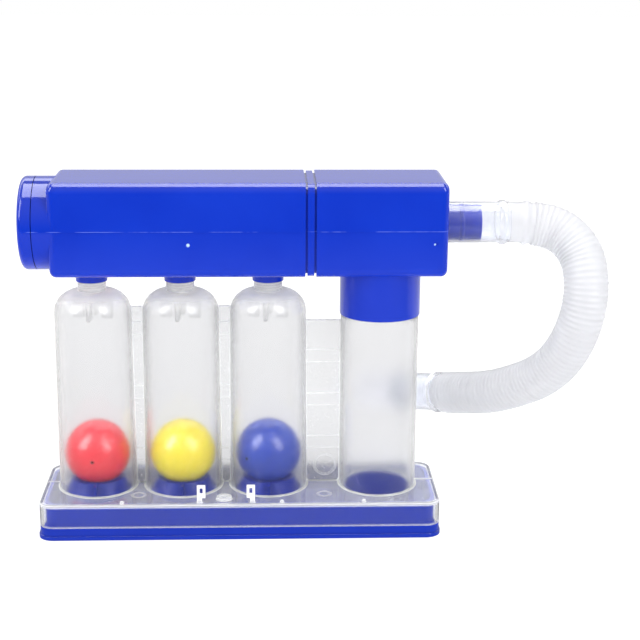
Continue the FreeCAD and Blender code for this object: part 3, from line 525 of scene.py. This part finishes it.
# The spots' default tone is the pale glint painted at the ducts' gates
def moulded_plastic(name, tone, second_tone, roughness, ior, specular, drift_mm=28.0, wave=(9.0, 0.01),
                    grain=(0.5, 0.001), glow_mm=0.0, parts_midway=False, marks=(), mark_tone="#C4E2FF"):
    """Opaque moulded plastic with a slight drift of tone and gloss."""
    material, tree, output = new_material(name)
    place = add_node(tree, "ShaderNodeTexCoord").outputs["Object"]
    drift = add_node(tree, "ShaderNodeTexNoise", {"Vector": place, "Scale": 1 / (drift_mm * MM),
                                                  "Detail": 2.0})
    tones = add_node(tree, "ShaderNodeValToRGB", {"Fac": drift.outputs["Fac"]})
    for element, position, hex_text in zip(tones.color_ramp.elements, DRIFT_ENDS, (tone, second_tone)):
        element.position = position
        element.color = colour(hex_text)
    normal, skin = moulded_skin(tree, *wave, *grain)
    tint = tones.outputs["Color"]
    if parts_midway:
        normal, tint = drafted(tree, place, normal, tint)
    tint = marked(tree, place, tint, marks, mark_tone)
    rough = spread(tree, skin, roughness * SKIN_SPREAD[0], roughness * SKIN_SPREAD[1])
    shader = add_node(tree, "ShaderNodeBsdfPrincipled", {
        "Base Color": tint, "Roughness": rough,
        "IOR": ior, "Specular IOR Level": specular, "Normal": normal,
        "Subsurface Weight": GLOW_SHARE if glow_mm else 0.0, "Subsurface Scale": glow_mm * MM,
        "Subsurface Radius": GLOW_REACH})
    tree.links.new(shader.outputs["BSDF"], output.inputs["Surface"])
    return material


def dress(material, *names):
    """Give measured parts a material."""
    for name in names:
        part = cad_nodes[name]
        part.data.materials.clear()
        part.data.materials.append(material)
    print(material.name, "on", ", ".join(names))


print("tone drift runs between the noise values", DRIFT_ENDS)

# %% [markdown]
# ## The blue parts
# All are ABS. The ducts and the dial are the glossiest. The tray is painted a shade deeper as shade near
# the floor, and the seats and the column's cap are duller and painted navy as the shade inside the chambers
# and the column.

# %% Blue plastics
# Pale spots painted at the two gates stand for their glints
GATE_GLINTS = (((73.0, -17.8, 115.4), 0.5), ((-18.5, -17.8, 115.2), 0.8))

# ABS from a polished mould: deep even blue, sharp highlights along the edges, two glints painted at the
# gates
blue_abs = moulded_plastic("gloss_abs_royal_blue", "#062CAC", "#0A30B1", roughness=0.1, ior=1.54,
                           specular=0.55, parts_midway=True, marks=GATE_GLINTS)
# The tray is a separate moulding of the same plastic; its deeper tone is painted shade near the floor
tray_abs = moulded_plastic("gloss_abs_tray_blue", "#06289C", "#092BA1", roughness=0.1, ior=1.54,
                           specular=0.45)
# The seats' darker blue is painted shade inside the chambers; their duller skin mirrors little
seat_abs = moulded_plastic("satin_abs_seat_painted_shade", "#0A2490", "#0E2896", roughness=0.3, ior=1.54,
                           specular=0.2)
# The cap in the column is seen at a flat angle and has a dull skin; its dark tone is painted shade at the
# column's foot
cap_abs = moulded_plastic("matt_abs_cap_painted_shade", "#081C76", "#0B207C", roughness=0.6, ior=1.54,
                          specular=0.05)
dress(blue_abs, "left_manifold", "right_duct", "duct_coupler", "flow_dial", "dial_rivet")
dress(tray_abs, "base_tray")
dress(seat_abs, "ball_seat_1", "ball_seat_2", "ball_seat_3")
dress(cap_abs, "column_floor_cap")

# %% [markdown]
# ## The balls
# Each ball is a light hollow moulding with a pin hole. Polyethylene scatters light just under its skin,
# which the eye reads as a soft, slightly glowing colour.

# %% Ball plastics
BALL_TONES = {"ball_red": ("#F21E32", "#F42A3B"), "ball_yellow": ("#FFDF2C", "#FFE23A"),
              "ball_blue": ("#0C38AA", "#133FB0")}
# Each pin hole gets a dark spot of painted shade, where its opening looks dark
HOLE_SHADE_SPOTS = {"ball_red": (((-57.1, -12.7, 28.4), 0.8),), "ball_yellow": (((-22.7, 12.7, 28.4), 0.8),),
              "ball_blue": (((2.8, -9.7, 28.4), 0.8),)}
# Tones of the painted shade in the pin holes
HOLE_SHADE_TONES = {"ball_red": "#5A0812", "ball_yellow": "#6E5410", "ball_blue": "#020617"}
for ball, tones in BALL_TONES.items():
    # Blow-moulded polyethylene: soft highlights and an even glow
    dress(moulded_plastic("satin_polyethylene_" + ball.split("_")[1], *tones, roughness=0.26, ior=1.5,
                          specular=1.3, drift_mm=9.0, glow_mm=5.0, marks=HOLE_SHADE_SPOTS[ball],
                          mark_tone=HOLE_SHADE_TONES[ball]), ball)

# %% [markdown]
# ## The chambers, the column and the panels
# These are one polypropylene moulding on the real product. Its mould is sand-blasted, so light that
# passes is spread a little: a ball close to the wall stays clear, and the seat further back blurs.
# The tops of the domes and the necks are thicker, so they are milkier.

# %% Frosted plastic
# Natural polypropylene: grey-white haze, soft highlights
frosted_pp = see_through("satin_polypropylene", "#EEEEEF", roughness=0.2, ior=1.49, window="#F8F9FA",
                         milk={"all_over": 0.0, "edge_on": 0.45, "along_edges": 0.3, "edge_mm": 0.45,
                               "level_extra": 0.1},
                         thick={"low_mm": 88.0, "high_mm": 96.0, "milk": 0.45, "roughness": 0.05},
                         grain=(0.6, 0.001), milk_tone="#FFFEFB", through=0.75, shine=0.2)
# The panels look greyer than the tubes, with pale edges, and clearer at the foot
panel_pp = see_through("satin_polypropylene_panel", "#D2D2D3", roughness=0.26, ior=1.49, window="#F4F5F6",
                       milk={"all_over": 0.0, "edge_on": 0.2, "along_edges": 1.0, "edge_mm": 0.7},
                       thick={"low_mm": 24.0, "high_mm": 36.0, "milk": 0.12, "roughness": 0.0},
                       grain=(0.6, 0.001), milk_tone="#FFFFFF", shine=0.3)
dress(frosted_pp, "flow_chamber_1", "flow_chamber_2", "flow_chamber_3", "column_tube")
dress(panel_pp, "link_panel_1", "link_panel_2", "link_panel_3")

# %% [markdown]
# ## The clear cover
# The cover is general-purpose polystyrene: hard and bright, with a white line where light gathers
# along its rounded edges. The tabs, rings and wedges that stand on its plate are whitest.

# %% Clear plastic and the hidden parts
# Clear polystyrene: sharp glints, hardly any haze on the flat faces
clear_ps = see_through("clear_polystyrene", "#FAFBFB", roughness=0.06, ior=1.59, window="#FCFDFE",
                       milk={"all_over": 0.0, "edge_on": 0.2, "along_edges": 1.0, "edge_mm": 1.0,
                             "level_extra": 0.12, "slopes": 1.0},
                       thick={"low_mm": 14.6, "high_mm": 15.2, "milk": 0.6, "roughness": 0.1},
                       milk_tone="#FFFFFF")
dress(clear_ps, "base_cover")
dress(cuff_ldpe, "hose_inlet_cuff", "hose_outlet_cuff")
# White polypropylene of the mouthpiece: thick and cloudy, so it glows in the light from behind
mouth_pp = see_through("cloudy_polypropylene", "#FDFDFC", roughness=0.25, ior=1.49, window="#F8F9FA",
                       milk={"all_over": 0.75, "edge_on": 0.1, "along_edges": 0.2, "edge_mm": 0.5},
                       through=0.85)
dress(mouth_pp, "mouthpiece")
# Nitrile seal ring: dull and dark
seal_rubber = moulded_plastic("dull_nitrile_rubber", "#222326", "#28292C", roughness=0.6, ior=1.52,
                              specular=0.3)
dress(seal_rubber, "dial_seal")

# %% [markdown]
# ## Light
# The studio has two tall softboxes, one on each side of the camera and above it. They make the pair of
# soft highlights on each ball and on the chambers' shoulders. A strip hangs over the object. It lights
# no matt surface, and draws the bright bands along the ducts' rounded edges and around the collar.

# %% Softboxes
LIGHT_AIM = Vector((0.0, 0.0, 70.0)) * MM


def softbox(name, azimuth, elevation, distance, width, height, radiance):
    """Rectangular lamp that faces the object; azimuth 0 is the camera's side, lengths are in metres."""
    turn, lift = math.radians(azimuth), math.radians(elevation)
    way = Vector((math.sin(turn) * math.cos(lift), -math.cos(turn) * math.cos(lift), math.sin(lift)))
    lamp = bpy.data.lights.new(name, "AREA")
    lamp.shape = "RECTANGLE"
    lamp.size = width
    lamp.size_y = height
    lamp.energy = radiance * math.pi * width * height
    made = bpy.data.objects.new(name, lamp)
    made.location = LIGHT_AIM + way * distance
    made.rotation_mode = "QUATERNION"
    made.rotation_quaternion = way.to_track_quat("Z", "Y")
    bpy.context.scene.collection.objects.link(made)
    print(name, "power", round(lamp.energy, 2))
    return made


softbox("softbox_left", azimuth=-56.0, elevation=38.0, distance=1.1, width=0.4, height=0.85,
        radiance=5.8)
softbox("softbox_right", azimuth=42.0, elevation=38.0, distance=1.1, width=0.38, height=0.85,
        radiance=6.2)
strip = softbox("reflection_strip", azimuth=180.0, elevation=82.0, distance=0.82, width=0.5, height=0.62,
                radiance=6.2)
strip.visible_diffuse = False

# %% [markdown]
# ## The room
# A white wall stands behind the object, brighter further up, and the front of the room is dark, so the
# ducts' tops mirror white and their fronts keep a deep blue. Diffuse rays find a soft fill. Camera rays,
# and rays that only passed through clear plastic, see pure white whichever way they look. Rays that met
# a mirror or a matt surface and then passed through plastic see a share of that white.

# %% Which rays see what
SEEN_THROUGH = 0.25


def straight_share(tree):
    """1 for rays that met no mirror or matt surface, a small share for others that passed plastic last."""
    ray = add_node(tree, "ShaderNodeLightPath").outputs
    bounces = add_node(tree, "ShaderNodeMath", {0: ray["Glossy Depth"], 1: ray["Diffuse Depth"]},
                       operation="ADD")
    bounced = add_node(tree, "ShaderNodeMath", {0: bounces.outputs[0], 1: 0.5}, operation="GREATER_THAN")
    partly = add_node(tree, "ShaderNodeMath", {0: ray["Is Transmission Ray"], 1: SEEN_THROUGH},
                      operation="MULTIPLY")
    share = add_node(tree, "ShaderNodeMix", {"Factor": bounced.outputs[0], "A": 1.0, "B": partly.outputs[0]})
    return share.outputs[0]


def mirror_share(tree):
    """1 for rays that never met a matt surface."""
    ray = add_node(tree, "ShaderNodeLightPath").outputs
    matt = add_node(tree, "ShaderNodeMath", {0: ray["Diffuse Depth"], 1: 0.5}, operation="LESS_THAN")
    return matt.outputs[0]


print("share of white seen through plastic", SEEN_THROUGH)

# %% [markdown]
# The wall and the dark room are worked out from the direction that a ray looks in.

# %% White wall behind, dark room in front
WALL_FRONT = (-0.05, 0.1)
WALL_RISE = (0.42, 0.64)
WALL_TOP = (0.66, 0.72)
WALL_LOW = 0.8
WALL_HIGH = 4.4
DARK_TOP = 0.8
DARK_LOW = 0.1
DARK_HIGH = 0.6
FILL_RISE = (0.1, 0.6)
FILL_LOW = 0.66
FILL_HIGH = 0.22
FILL_BEHIND = 0.95

world = bpy.data.worlds.new("white_wall")
world.use_nodes = True
bpy.context.scene.world = world
room = world.node_tree
room.nodes.clear()
direction = add_node(room, "ShaderNodeSeparateXYZ", {
    "Vector": add_node(room, "ShaderNodeTexCoord").outputs["Generated"]}).outputs
behind = add_node(room, "ShaderNodeMapRange", {
    "Value": direction["Y"], "From Min": WALL_FRONT[0], "From Max": WALL_FRONT[1]},
    interpolation_type="SMOOTHSTEP")
below_top = add_node(room, "ShaderNodeMapRange", {
    "Value": direction["Z"], "From Min": WALL_TOP[0], "From Max": WALL_TOP[1], "To Min": 1.0,
    "To Max": 0.0}, interpolation_type="SMOOTHSTEP")
on_wall = add_node(room, "ShaderNodeMath", {0: behind.outputs[0], 1: below_top.outputs[0]},
                   operation="MULTIPLY")
wall = add_node(room, "ShaderNodeMapRange", {
    "Value": direction["Z"], "From Min": WALL_RISE[0], "From Max": WALL_RISE[1], "To Min": WALL_LOW,
    "To Max": WALL_HIGH})
dark = add_node(room, "ShaderNodeMapRange", {"Value": direction["Z"], "From Max": DARK_TOP,
                                             "To Min": DARK_LOW, "To Max": DARK_HIGH})
mirrored = add_node(room, "ShaderNodeMix", {"Factor": on_wall.outputs[0], "A": dark.outputs[0],
                                            "B": wall.outputs[0]})
front_fill = add_node(room, "ShaderNodeMapRange", {
    "Value": direction["Z"], "From Min": FILL_RISE[0], "From Max": FILL_RISE[1], "To Min": FILL_LOW,
    "To Max": FILL_HIGH})
fill = spread(room, behind.outputs[0], front_fill.outputs[0], FILL_BEHIND)
unseen = add_node(room, "ShaderNodeMix", {"Factor": mirror_share(room), "A": fill,
                                          "B": mirrored.outputs[0]})
strength = add_node(room, "ShaderNodeMix", {"Factor": straight_share(room), "A": unseen.outputs[0],
                                            "B": 1.0})
white = add_node(room, "ShaderNodeBackground", {"Color": (1.0, 1.0, 1.0, 1.0),
                                                "Strength": strength.outputs[0]})
add_node(room, "ShaderNodeOutputWorld", {"Surface": white.outputs["Background"]})
print("room nodes", len(room.nodes))

# %% [markdown]
# ## The floor
# A white sweep of paper. The camera sees it glow almost white, and its own shading adds the rest, so
# open paper is pure white and the object still stands on a faint shadow.

# %% Paper as the camera sees it
FLOOR_HALF = 3.0
FLOOR_DROP = 0.05 * MM
PAPER_GLOW = 0.84
GLOW_NEAR = 0.15
GLOW_FAR = 0.45
SHADOW_SHARE = 0.34

corners = [(-FLOOR_HALF, -FLOOR_HALF), (FLOOR_HALF, -FLOOR_HALF), (FLOOR_HALF, FLOOR_HALF),
           (-FLOOR_HALF, FLOOR_HALF)]
floor_mesh = bpy.data.meshes.new("floor")
floor_mesh.from_pydata([(x, y, -FLOOR_DROP) for x, y in corners], [], [(0, 1, 2, 3)])
floor = add_object("floor", floor_mesh)
paper, tree, output = new_material("white_paper")
faint = add_node(tree, "ShaderNodeBsdfDiffuse", {"Color": (SHADOW_SHARE, SHADOW_SHARE, SHADOW_SHARE, 1.0)})
place = add_node(tree, "ShaderNodeTexCoord").outputs["Object"]
distance = add_node(tree, "ShaderNodeVectorMath", {0: place}, operation="LENGTH")
brighter = add_node(tree, "ShaderNodeMapRange", {"Value": distance.outputs["Value"], "From Min": GLOW_NEAR,
                                                 "From Max": GLOW_FAR, "To Min": PAPER_GLOW, "To Max": 1.0})
glow = add_node(tree, "ShaderNodeEmission", {"Color": (1.0, 1.0, 1.0, 1.0), "Strength": brighter.outputs[0]})
shown = add_node(tree, "ShaderNodeAddShader", {0: faint.outputs["BSDF"], 1: glow.outputs["Emission"]})
print("floor side in m", 2 * FLOOR_HALF)

# %% [markdown]
# Other rays see other paper. Diffuse rays find it white, with a glow of its own that lights the object
# from below. Mirror rays see it darken about half a metre in front of the object. The ducts' fronts
# mirror that, so they are darker above the parting line than below it.

# %% Paper as other rays see it
PAPER_EXTRA = 0.8
PAPER_RAMP_START = -0.6
PAPER_RAMP_END = 0.4
PAPER_RAMP = ((0.0, 0.03), (0.1, 0.04), (0.2, 0.32), (0.3, 0.42), (0.56, 0.32), (0.66, 0.85),
              (1.0, 0.95))

matt = add_node(tree, "ShaderNodeBsdfDiffuse", {"Color": colour("#F0F0F0")})
extra = add_node(tree, "ShaderNodeEmission", {"Color": (1.0, 1.0, 1.0, 1.0), "Strength": PAPER_EXTRA})
lit = add_node(tree, "ShaderNodeAddShader", {0: matt.outputs["BSDF"], 1: extra.outputs["Emission"]})
depth = add_node(tree, "ShaderNodeSeparateXYZ", {"Vector": place}).outputs["Y"]
depth_share = add_node(tree, "ShaderNodeMapRange", {"Value": depth, "From Min": PAPER_RAMP_START,
                                                    "From Max": PAPER_RAMP_END})
ramp = add_node(tree, "ShaderNodeValToRGB", {"Fac": depth_share.outputs[0]})
fill_ramp(ramp, PAPER_RAMP)
mirrored = add_node(tree, "ShaderNodeEmission", {"Color": ramp.outputs["Color"], "Strength": 1.0})
unseen = add_node(tree, "ShaderNodeMixShader", {"Fac": mirror_share(tree), 1: lit.outputs["Shader"],
                                                2: mirrored.outputs["Emission"]})
mixed = add_node(tree, "ShaderNodeMixShader", {"Fac": straight_share(tree), 1: unseen.outputs["Shader"],
                                               2: shown.outputs["Shader"]})
tree.links.new(mixed.outputs["Shader"], output.inputs["Surface"])
floor_mesh.materials.append(paper)
bpy.context.scene.view_settings.view_transform = "Standard"
print("paper nodes", len(tree.nodes))
